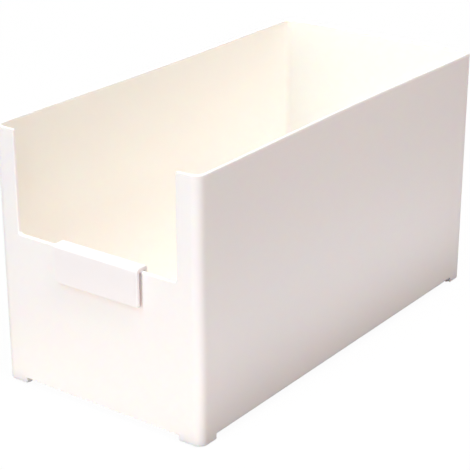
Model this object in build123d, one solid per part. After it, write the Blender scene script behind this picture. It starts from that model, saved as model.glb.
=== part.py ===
from build123d import *
import os
from math import radians, tan

# Stackable storage box, open at the top, with a U-shaped cut in its front wall and a label clip
# hooked over the low sill of that cut. Millimetres, +Z up, front towards -Y.
# The origin is on the surface that the box stands on, at the middle of the footprint in which
# the clip's overhang at the front is counted.

# Box
box_width = 150.0
box_depth = 299.0
box_height = 163.8
corner_radius = 6.0
rim_wall = 2.4
inner_draft = 0.25  # degrees: the inside narrows downwards, so the core draws out of the moulding
wall_bow = 1.8  # the long walls shrink inwards this far at the middle of the rim, and not at the floor
floor_thickness = 2.5
floor_fillet = 2.0
rim_round = 0.9
base_round = 0.6

# Cut in the front wall
cut_width = 118.0
sill_height = 99.2
cut_fillet = 2.0
cheek_round = 1.0
cutter_depth = 10.0  # well past both faces of the wall

# Feet: the outer part of each foot stands on the rim of the box below, and the rib behind it
# reaches down inside that rim, so a stack can't slide
foot_height = 3.3
front_leg = 16.0
side_leg = 14.0
foot_width = 5.6
foot_inner_fillet = 1.0
foot_round = 0.5
stack_step = 1.0
stack_clearance = 0.4
stack_rib = 2.4
stack_rib_end = 0.8  # the rib stops this far short of the foot's ends
stack_lead = 0.4

# Label clip: an upside-down U that hangs over the sill
clip_width = 62.0
clip_height = 23.7
clip_wall = 2.0
clip_top = 2.8
back_drop = 13.0  # how far the leg behind the wall reaches below the sill
label_slit = 1.9  # between the front plate and the wall
back_gap = 0.9  # between the back leg and the wall
clip_offset = 3.0  # the clip stands this far to the right of the cut's middle
clip_crown = 2.2
clip_inner_fillet = 0.5
clip_corner_round = 1.2
clip_edge_round = 0.5

# Ribs inside the clip, which grip the wall
rib_count = 4
rib_width = 1.6
rib_drop = 11.0
rib_end_inset = 9.0
rib_lead = 0.8
rib_root = 0.3  # how far a rib runs into the clip's walls
grip_clearance = 0.1

tolerance = 0.01
underside = stack_step + foot_height
floor_top = underside + floor_thickness
front_face = -box_depth / 2
clip_front = front_face - label_slit - clip_wall
to_origin = Pos(0, (front_face - clip_front) / 2, 0)


def wall_at(z):
    """Thickness of the walls at height z."""
    return rim_wall + (box_height - z) * tan(radians(inner_draft))


def plan(inset, radius, z):
    """Plan of the box, drawn in from its outer faces, at height z."""
    return Pos(0, 0, z) * RectangleRounded(box_width - 2 * inset, box_depth - 2 * inset, radius)


def bowed_plan(inset, radius, z, bow):
    """The same plan with its long sides drawn in by bow at their middle."""
    x, y = box_width / 2 - inset, box_depth / 2 - inset
    straight = y - radius
    side = Spline((x, -straight), (x - bow, 0), (x, straight), tangents=[(0, 1), (0, 1)])
    half = [side, CenterArc((x - radius, straight), radius, 0, 90), Line((x - radius, y), (radius - x, y))]
    half.append(CenterArc((radius - x, straight), radius, 90, 90))
    return Pos(0, 0, z) * make_face(half + [Rot(0, 0, 180) * edge for edge in half])


def cavity():
    """The space inside the walls, with a rounded edge round the floor."""
    radius = corner_radius - rim_wall
    low = bowed_plan(wall_at(floor_top), radius, floor_top, 0)
    space = loft([low, bowed_plan(rim_wall, radius, box_height, wall_bow)], ruled=True)
    return fillet(space.faces().sort_by(Axis.Z)[0].edges(), floor_fillet)


def front_cut():
    """What is cut away above the sill."""
    height = 2 * (box_height - sill_height)
    block = Pos(0, front_face, sill_height + height / 2) * Box(cut_width, cutter_depth, height)
    return fillet(block.edges().filter_by(Axis.Y).group_by(Axis.Z)[0], cut_fillet)


def outline_of(faces):
    """The edges that bound a set of adjoining faces, without those between two of them."""
    edges = [edge for face in faces for edge in face.edges()]
    return [edge for edge in edges if edges.count(edge) == 1]


def rim_band(body):
    """The faces along the rim, down the cheeks and across the sill, which become the rounded edge."""
    return body.faces().filter_by_position(Axis.Z, sill_height - cut_fillet, box_height)


def walls():
    """Walls and floor with the cut and the rounded rim, without the feet."""
    base = extrude(plan(0, corner_radius, underside), floor_thickness)
    base = fillet(base.faces().sort_by(Axis.Z)[0].edges(), base_round)
    ends = ((floor_top, 0), (box_height, wall_bow))
    outside = loft([bowed_plan(0, corner_radius, z, bow) for z, bow in ends], ruled=True)
    body = base + outside - cavity() - front_cut()
    cheek_tops = body.edges().filter_by(Axis.Y).group_by(Axis.Z)[-1]
    cheek_tops = [edge for edge in cheek_tops if abs(abs(edge.center().X) - cut_width / 2) < tolerance]
    body = fillet(cheek_tops, cheek_round)
    return fillet(outline_of(rim_band(body)), rim_round)


def foot_plan(outer_inset, inner_inset, end_inset, z):
    """L-shaped plan of the foot at the corner +X +Y, between two insets from the outer faces."""
    outer_radius = corner_radius - outer_inset
    ring = plan(outer_inset, outer_radius, z) - plan(inner_inset, foot_inner_fillet, z)
    length, width = front_leg - end_inset, side_leg - end_inset
    return ring & Pos((box_width - length) / 2, (box_depth - width) / 2, z) * Rectangle(length, width)


def reaches_outside(edge):
    """Whether an edge of the foot at the corner +X +Y touches the outer faces of the box."""
    far = edge.bounding_box().max
    return far.X > box_width / 2 - tolerance or far.Y > box_depth / 2 - tolerance


def foot():
    """Foot at the corner +X +Y: the part flush with the walls, and the rib that locates a stack."""
    outer = extrude(foot_plan(0, foot_width, 0, stack_step), foot_height + floor_thickness / 2)
    sole = outer.faces().sort_by(Axis.Z)[0]
    outer = fillet([edge for edge in sole.edges() if reaches_outside(edge)], foot_round)
    rib_inset = rim_wall + stack_clearance
    rib_plan = foot_plan(rib_inset, rib_inset + stack_rib, stack_rib_end, 0)
    rib = extrude(rib_plan, underside + floor_thickness / 2)
    return outer + chamfer(rib.faces().sort_by(Axis.Z)[0].edges(), stack_lead)


def make_box_shell():
    """The whole box, one moulding with its four feet."""
    corner = foot()
    pair = corner + mirror(corner, Plane.YZ)
    return walls() + pair + mirror(pair, Plane.XZ)


def clip_slot_back():
    """Where the slot of the clip ends, at the front of its back leg."""
    return front_face + wall_at(sill_height) + back_gap


def clip_profile():
    """End view of the clip, an upside-down U whose top rests on the sill."""
    top = sill_height + clip_top
    plate_low, leg_low = top - clip_height, sill_height - back_drop
    plate_back, leg_front = clip_front + clip_wall, clip_slot_back()
    back = leg_front + clip_wall
    outline = Polyline(
        (clip_front, plate_low), (clip_front, top), (back, top), (back, leg_low),
        (leg_front, leg_low), (leg_front, sill_height), (plate_back, sill_height), (plate_back, plate_low),
        close=True,
    )
    profile = make_face(Plane.YZ * outline)
    inner = [v for v in profile.vertices() if abs(v.Z - sill_height) < tolerance]
    profile = fillet(inner, clip_inner_fillet)
    crown = profile.vertices().group_by(Axis.Z)[-1]
    return fillet(crown, clip_crown)


def clip_hook():
    """The clip without its ribs, with rounded corners and a rounded outline round its outer skin."""
    hook = extrude(clip_profile(), clip_width / 2, both=True)
    low_corners = hook.edges().filter_by(Axis.Y).filter_by_position(Axis.Z, 0, sill_height - clip_wall)
    faces = fillet(low_corners, clip_corner_round).faces().sort_by(Axis.Y)
    top = sill_height + clip_top
    skin = [faces[0], faces[-1]] + faces.filter_by_position(Axis.Z, top - clip_crown, top)
    return fillet(outline_of(skin), clip_edge_round)


def grip_rib(root, tip):
    """One rib, from the clip's wall at root to the box's wall at tip, with a lead-in at its foot."""
    inward = 1 if tip > root else -1
    low, high = sill_height - rib_drop, sill_height + rib_root
    outline = Polyline(
        (root - inward * rib_root, high), (tip, high), (tip, low + rib_lead), (tip - inward * rib_lead, low),
        (root - inward * rib_root, low), close=True,
    )
    return extrude(make_face(Plane.YZ * outline), rib_width / 2, both=True)


def make_label_clip():
    """The clip with its ribs, where it hangs on the sill."""
    widest = wall_at(sill_height - rib_drop)
    front_rib = grip_rib(clip_front + clip_wall, front_face - grip_clearance)
    back_rib = grip_rib(clip_slot_back(), front_face + widest + grip_clearance)
    pitch = (clip_width - 2 * rib_end_inset - rib_width) / (rib_count - 1)
    places = [Pos((i - (rib_count - 1) / 2) * pitch, 0, 0) for i in range(rib_count)]
    clip = clip_hook()
    for place in places:
        clip += place * front_rib
        clip += place * back_rib
    return Pos(clip_offset, 0, 0) * clip


os.makedirs("parts", exist_ok=True)
for name, make in {"box_shell": make_box_shell, "label_clip": make_label_clip}.items():
    solid = to_origin * make()
    export_step(solid, f"parts/{name}.step")
    print(name, "volume", round(solid.volume), "faces", len(solid.faces()), "valid", solid.is_valid)
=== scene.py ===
import bpy
from math import cos, radians, sin
from mathutils import Matrix, Vector


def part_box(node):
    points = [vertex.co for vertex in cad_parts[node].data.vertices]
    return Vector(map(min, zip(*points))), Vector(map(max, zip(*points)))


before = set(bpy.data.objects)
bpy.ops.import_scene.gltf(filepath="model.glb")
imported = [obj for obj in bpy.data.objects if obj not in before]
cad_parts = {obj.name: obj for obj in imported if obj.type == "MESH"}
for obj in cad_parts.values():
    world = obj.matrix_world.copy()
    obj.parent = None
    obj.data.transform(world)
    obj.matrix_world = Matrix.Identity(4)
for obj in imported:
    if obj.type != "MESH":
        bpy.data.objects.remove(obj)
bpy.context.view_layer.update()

# Stackable storage box with its label clip, in metres, front towards -Y


def bodyMiddle():
    low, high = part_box("box_shell")
    return (Vector(low) + Vector(high)) / 2


camera = {
    "azimuth": 36.459,  # degrees to the right of straight on
    "elevation": 22.396,
    "roll": -0.072,
    "aimHeight": 0.082,  # half way up between the visible bottoms of the feet and the rim
    "distance": 0.99738,  # from the aim point, along the view
    "focal": 1555.67,  # in pixels of the photograph
    "aimPixel": (249.825, 208.195),  # where the aim point lands in the photograph
    "photoSize": 470,
    "sensor": 36.0,
    "clip": (0.05, 20.0),
}


def makeCamera():
    c = camera
    az, el, roll = (radians(c[k]) for k in ("azimuth", "elevation", "roll"))
    back = Vector((sin(az) * cos(el), -cos(az) * cos(el), sin(el)))
    right = Vector((cos(az), sin(az), 0.0))
    up = back.cross(right)
    right, up = right * cos(roll) + up * sin(roll), up * cos(roll) - right * sin(roll)
    aim = bodyMiddle()
    aim.z = c["aimHeight"]
    half = c["photoSize"] / 2
    spread = c["distance"] / c["focal"]
    place = aim + back * c["distance"] - right * (c["aimPixel"][0] - half) * spread
    place += up * (c["aimPixel"][1] - half) * spread
    data = bpy.data.cameras.new("photoCamera")
    data.sensor_width = c["sensor"]
    data.sensor_fit = "HORIZONTAL"
    data.lens = c["sensor"] * c["focal"] / c["photoSize"]
    data.clip_start, data.clip_end = c["clip"]
    eye = bpy.data.objects.new("photoCamera", data)
    bpy.context.scene.collection.objects.link(eye)
    turn = Matrix((right, up, back)).transposed().to_4x4()
    eye.matrix_world = Matrix.Translation(place) @ turn
    bpy.context.scene.camera = eye


# Big soft lamps, all turned to the middle of the box
softboxes = {
    "topSoftbox": {
        "place": (0.0, 0.0, 2.0), "size": (1.4, 1.4),
        "power": 13.4, "colour": (0.85, 0.97, 1.0),
    },
    "rightHighSoftbox": {
        "place": (1.083, -0.191, 1.985), "size": (1.0, 1.0),
        "power": 32.0, "colour": (1.0, 0.885, 0.89),
    },
    "frontHighSoftbox": {
        "place": (0.0, -1.414, 1.765), "size": (1.0, 1.0),
        "power": 14.2, "colour": (0.47, 0.78, 1.0),
    },
    "lowFrontSoftbox": {
        "place": (-0.3, -2.1, 0.35), "size": (0.7, 0.7),
        "power": 20.1, "colour": (1.0, 0.96, 0.94),
    },
    "keySoftbox": {
        "place": (0.961, -1.97, 0.272), "size": (0.25, 0.25),
        "power": 4.1, "colour": (0.97, 0.98, 0.92),
    },
    "rightBackSoftbox": {
        "place": (1.3, 1.3, 1.1), "size": (1.0, 1.0),
        "power": 0.5, "colour": (0.98, 0.93, 0.85),
    },
    "leftBackSoftbox": {
        "place": (-1.5, 1.8, 0.45), "size": (1.0, 1.0),
        "power": 36.0, "colour": (0.96, 0.98, 1.0),
    },
}
# What a white table throws back up at the front and the right wall; these face straight up
tableCards = {
    "frontCard": {
        "place": (0.04, -0.276, 0.001), "size": (0.26, 0.248),
        "power": 0.100, "colour": (1.0, 0.861, 0.66),
    },
    "underCard": {
        "place": (0.0, -0.135, 0.001), "size": (0.112, 0.03),
        "power": 0.008, "colour": (1.0, 1.0, 1.0),
    },
    "nearCard": {
        "place": (0.1625, 0.0, 0.001), "size": (0.065, 0.5),
        "power": 0.132, "colour": (0.83, 0.92, 1.0),
    },
    "farCard": {
        "place": (0.425, 0.0, 0.001), "size": (0.35, 0.5),
        "power": 0.050, "colour": (0.86, 0.97, 1.0),
    },
}


def makeLamp(name, spec, facing):
    data = bpy.data.lights.new(name, "AREA")
    data.shape = "RECTANGLE"
    data.size, data.size_y = spec["size"]
    data.energy = spec["power"]
    data.color = spec["colour"]
    lamp = bpy.data.objects.new(name, data)
    bpy.context.scene.collection.objects.link(lamp)
    lamp.location = spec["place"]
    lamp.visible_camera = False
    lamp.rotation_euler = facing.to_track_quat("-Z", "Y").to_euler()


def addNode(tree, kind, **values):
    node = tree.nodes.new(kind)
    for key, value in values.items():
        setattr(node, key, value)
    return node


def feed(tree, source, entry):
    # A socket is linked to the entry, and a plain value is written into it
    if isinstance(source, bpy.types.NodeSocket):
        tree.links.new(source, entry)
    else:
        entry.default_value = source


def calculate(tree, operation, *sources):
    step = addNode(tree, "ShaderNodeMath", operation=operation)
    for source, entry in zip(sources, step.inputs):
        feed(tree, source, entry)
    return step.outputs[0]


def calculateVector(tree, operation, *sources, result="Vector"):
    step = addNode(tree, "ShaderNodeVectorMath", operation=operation)
    for source, entry in zip(sources, step.inputs):
        feed(tree, source, entry)
    return step.outputs[result]


def blend(tree, share, first, second):
    mix = addNode(tree, "ShaderNodeMix", data_type="RGBA")
    feed(tree, first, mix.inputs["A"])
    feed(tree, second, mix.inputs["B"])
    feed(tree, share, mix.inputs["Factor"])
    return mix.outputs["Result"]


def rescale(tree, value, start, end, kind="LINEAR", to=(0.0, 1.0)):
    scale = addNode(tree, "ShaderNodeMapRange", interpolation_type=kind)
    scale.inputs["From Min"].default_value, scale.inputs["From Max"].default_value = start, end
    scale.inputs["To Min"].default_value, scale.inputs["To Max"].default_value = to
    feed(tree, value, scale.inputs["Value"])
    return scale.outputs[0]


stage = {
    "worldColour": (1.0, 0.875, 0.53, 1.0),
    "worldLight": 0.175,
    "floorSize": 9.0,
    "floorColour": (0.06, 0.06, 0.06, 1.0),
    "floorSeen": (0.9, 0.9, 0.9, 1.0),  # the paper as the camera sees it
    "floorWhite": 0.955,  # how much of what the camera sees of the floor is plain white
}


def seenShare(tree):
    # 1 for what the camera, a mirror or glass sees, 0 for the light that falls on things
    path = addNode(tree, "ShaderNodeLightPath").outputs
    direct = calculate(tree, "MAXIMUM", path["Is Camera Ray"], path["Is Glossy Ray"])
    return calculate(tree, "MAXIMUM", direct, path["Is Transmission Ray"])


def makeWorld():
    world = bpy.data.worlds.new("studioWorld")
    bpy.context.scene.world = world
    world.use_nodes = True
    tree = world.node_tree
    tree.nodes.clear()
    lit = addNode(tree, "ShaderNodeBackground")
    lit.inputs["Color"].default_value = stage["worldColour"]
    lit.inputs["Strength"].default_value = stage["worldLight"]
    white = addNode(tree, "ShaderNodeBackground")  # seen as plain white
    white.inputs["Color"].default_value = (1, 1, 1, 1)
    white.inputs["Strength"].default_value = 1.0
    mix = addNode(tree, "ShaderNodeMixShader")
    for source, entry in zip((seenShare(tree), lit.outputs[0], white.outputs[0]), mix.inputs):
        tree.links.new(source, entry)
    out = addNode(tree, "ShaderNodeOutputWorld")
    tree.links.new(mix.outputs[0], out.inputs["Surface"])


def makeFloor():
    bpy.ops.object.select_all(action="DESELECT")
    bpy.ops.mesh.primitive_plane_add(size=stage["floorSize"], location=(0, 0, 0))
    floor = bpy.context.active_object
    floor.name = "studioFloor"
    mat = bpy.data.materials.new("floorPaper")
    mat.use_nodes = True
    tree = mat.node_tree
    seen = seenShare(tree)
    paper = tree.nodes["Principled BSDF"]
    feed(tree, blend(tree, seen, stage["floorColour"], stage["floorSeen"]), paper.inputs["Base Color"])
    paper.inputs["Roughness"].default_value = 1.0
    paper.inputs["Specular IOR Level"].default_value = 0.0
    white = addNode(tree, "ShaderNodeEmission")
    share = calculate(tree, "MULTIPLY", seen, stage["floorWhite"])
    mix = addNode(tree, "ShaderNodeMixShader")
    for source, entry in zip((share, paper.outputs[0], white.outputs[0]), mix.inputs):
        tree.links.new(source, entry)
    tree.links.new(mix.outputs[0], tree.nodes["Material Output"].inputs["Surface"])
    floor.data.materials.append(mat)


shellPlastic = {
    "colour": (0.988, 0.912, 0.935, 1.0),
    "flowColour": (0.981, 0.903, 0.925, 1.0),
    "paintedBounceColour": (0.981, 0.931, 0.878, 1.0),  # painted bounce light: the inside is painted creamier and brighter than the outside
    "cornerRadius": 0.006,
    "wallMiddle": 0.00205,  # how far in from the outside the painted bounce light begins
    "floorMiddle": 0.0056,  # and how high up
    "insideFade": 0.0003,
    "paintedRimShade": (0.74, 0.705, 0.695, 1.0),  # painted shade: the top of the rim is painted darker to hold back the strong light from above
    "rimDepth": 0.0011,  # how far down from the top that begins
    "rimFade": 3.0,  # it is full at that depth divided by this
    "edgeToneAndHighlight": (0.945, 0.890, 0.865, 1.0),
    "edgePolish": 0.08,  # how much smoother a worn edge is
    "edgeWidth": 0.0012,
    "edgeSamples": 4,
    "edgeStart": 0.995,  # cosines of the turn at which the edge tone starts and is full
    "edgeFull": 0.90,
    "roughness": (0.40, 0.52),
    "grainScale": 1900.0,  # the fine matt texture of the mould
    "grainDetail": 3.0,
    "grainStrength": 0.25,
    "grainDepth": 0.00003,
    "flowScale": 14.0,  # slow unevenness of the moulding
    "flowDetail": 2.0,
    "flowStrength": 0.3,
    "flowDepth": 0.0004,
    "ior": 1.49,
    "milkiness": 0.35,
    "milkyRadius": (1.0, 0.62, 0.36),
    "milkyScale": 0.004,
}
clipPlastic = dict(
    shellPlastic,
    colour=(0.996, 0.894, 0.916, 1.0),
    flowColour=(0.991, 0.887, 0.907, 1.0),
    paintedBounceColour=None,
    paintedRimShade=None,
    # the clip's whiter edges are a painted highlight
    edgeToneAndHighlight=(1.0, 0.97, 0.955, 1.0),
    milkiness=0.5,
    milkyRadius=(1.0, 0.92, 0.84),
    milkyScale=0.002,
)


def heightShare(tree, place, low, high):
    # 0 below one height, 1 above the other
    split = addNode(tree, "ShaderNodeSeparateXYZ")
    feed(tree, place, split.inputs[0])
    return rescale(tree, split.outputs["Z"], low, high, kind="SMOOTHSTEP")


def paintedBounceShare(tree, place, spec):
    # Where the painted bounce light goes: 1 on the box's inner faces and its floor, 0 on its outside
    low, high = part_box("box_shell")
    middle = (low + high) / 2
    radius, fade = spec["cornerRadius"], spec["insideFade"]
    straight = high - middle - Vector([radius] * 3)
    # How far a point lies from the straight-sided middle of the plan shows how deep in it is
    spot = calculateVector(tree, "SUBTRACT", place, middle)
    spot = calculateVector(tree, "ABSOLUTE", spot)
    spot = calculateVector(tree, "SUBTRACT", spot, straight)
    spot = calculateVector(tree, "MAXIMUM", spot, (0, 0, 0))
    spot = calculateVector(tree, "MULTIPLY", spot, (1, 1, 0))
    reach = calculateVector(tree, "LENGTH", spot, result="Value")
    limit = radius - spec["wallMiddle"]
    within = rescale(tree, reach, limit + fade, limit - fade, kind="SMOOTHSTEP")
    above = heightShare(tree, place, spec["floorMiddle"] - fade, spec["floorMiddle"] + fade)
    return calculate(tree, "MULTIPLY", within, above)


def edgeToneAndHighlightShare(tree, spec):
    # Edge tone from how far a rounded edge would turn: darker and warmer on the box, a painted
    # highlight on the clip
    rounded = addNode(tree, "ShaderNodeBevel", samples=spec["edgeSamples"])
    rounded.inputs["Radius"].default_value = spec["edgeWidth"]
    flat = addNode(tree, "ShaderNodeNewGeometry").outputs["Normal"]
    turn = calculateVector(tree, "DOT_PRODUCT", rounded.outputs[0], flat, result="Value")
    return rescale(tree, turn, spec["edgeStart"], spec["edgeFull"])


def noise(tree, place, scale, detail):
    cloud = addNode(tree, "ShaderNodeTexNoise")
    cloud.inputs["Scale"].default_value = scale
    cloud.inputs["Detail"].default_value = detail
    feed(tree, place, cloud.inputs["Vector"])
    return cloud.outputs["Fac"]


def bump(tree, height, strength, depth):
    bumpy = addNode(tree, "ShaderNodeBump")
    bumpy.inputs["Strength"].default_value = strength
    bumpy.inputs["Distance"].default_value = depth
    feed(tree, height, bumpy.inputs["Height"])
    return bumpy


def mouldedPlastic(name, spec):
    mat = bpy.data.materials.new(name)
    mat.use_nodes = True
    tree = mat.node_tree
    shader = tree.nodes["Principled BSDF"]
    place = addNode(tree, "ShaderNodeTexCoord").outputs["Object"]
    grain = noise(tree, place, spec["grainScale"], spec["grainDetail"])
    flow = noise(tree, place, spec["flowScale"], spec["flowDetail"])
    edge = edgeToneAndHighlightShare(tree, spec)

    tone = blend(tree, flow, spec["colour"], spec["flowColour"])
    # Painted bounce light: the inside is painted creamier and brighter
    if spec["paintedBounceColour"]:
        tone = blend(tree, paintedBounceShare(tree, place, spec), tone, spec["paintedBounceColour"])
    # Edge tone, which on the clip is a painted highlight
    tone = blend(tree, edge, tone, spec["edgeToneAndHighlight"])
    # Painted shade along the top of the rim
    if spec["paintedRimShade"]:
        top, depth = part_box("box_shell")[1].z, spec["rimDepth"]
        rim = heightShare(tree, place, top - depth, top - depth / spec["rimFade"])
        tone = blend(tree, rim, tone, spec["paintedRimShade"])
    feed(tree, tone, shader.inputs["Base Color"])

    gloss = rescale(tree, grain, 0.0, 1.0, to=spec["roughness"])
    polished = calculate(tree, "MULTIPLY_ADD", edge, -spec["edgePolish"], gloss)
    feed(tree, polished, shader.inputs["Roughness"])

    fine = bump(tree, grain, spec["grainStrength"], spec["grainDepth"])
    wavy = bump(tree, flow, spec["flowStrength"], spec["flowDepth"])
    tree.links.new(fine.outputs[0], wavy.inputs["Normal"])
    tree.links.new(wavy.outputs[0], shader.inputs["Normal"])

    shader.inputs["IOR"].default_value = spec["ior"]
    shader.inputs["Subsurface Weight"].default_value = spec["milkiness"]
    shader.inputs["Subsurface Radius"].default_value = spec["milkyRadius"]
    shader.inputs["Subsurface Scale"].default_value = spec["milkyScale"]
    return mat


print("camera and studio")
bpy.context.scene.view_settings.view_transform = "Standard"
makeCamera()
makeWorld()
for lampName, lampSpec in softboxes.items():
    makeLamp(lampName, lampSpec, bodyMiddle() - Vector(lampSpec["place"]))
for lampName, lampSpec in tableCards.items():
    makeLamp(lampName, lampSpec, Vector((0, 0, 1)))
makeFloor()

print("plastics")
for nodeName, spec in {"box_shell": shellPlastic, "label_clip": clipPlastic}.items():
    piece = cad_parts[nodeName]
    piece.data.materials.clear()
    piece.data.materials.append(mouldedPlastic(nodeName + "_plastic", spec))
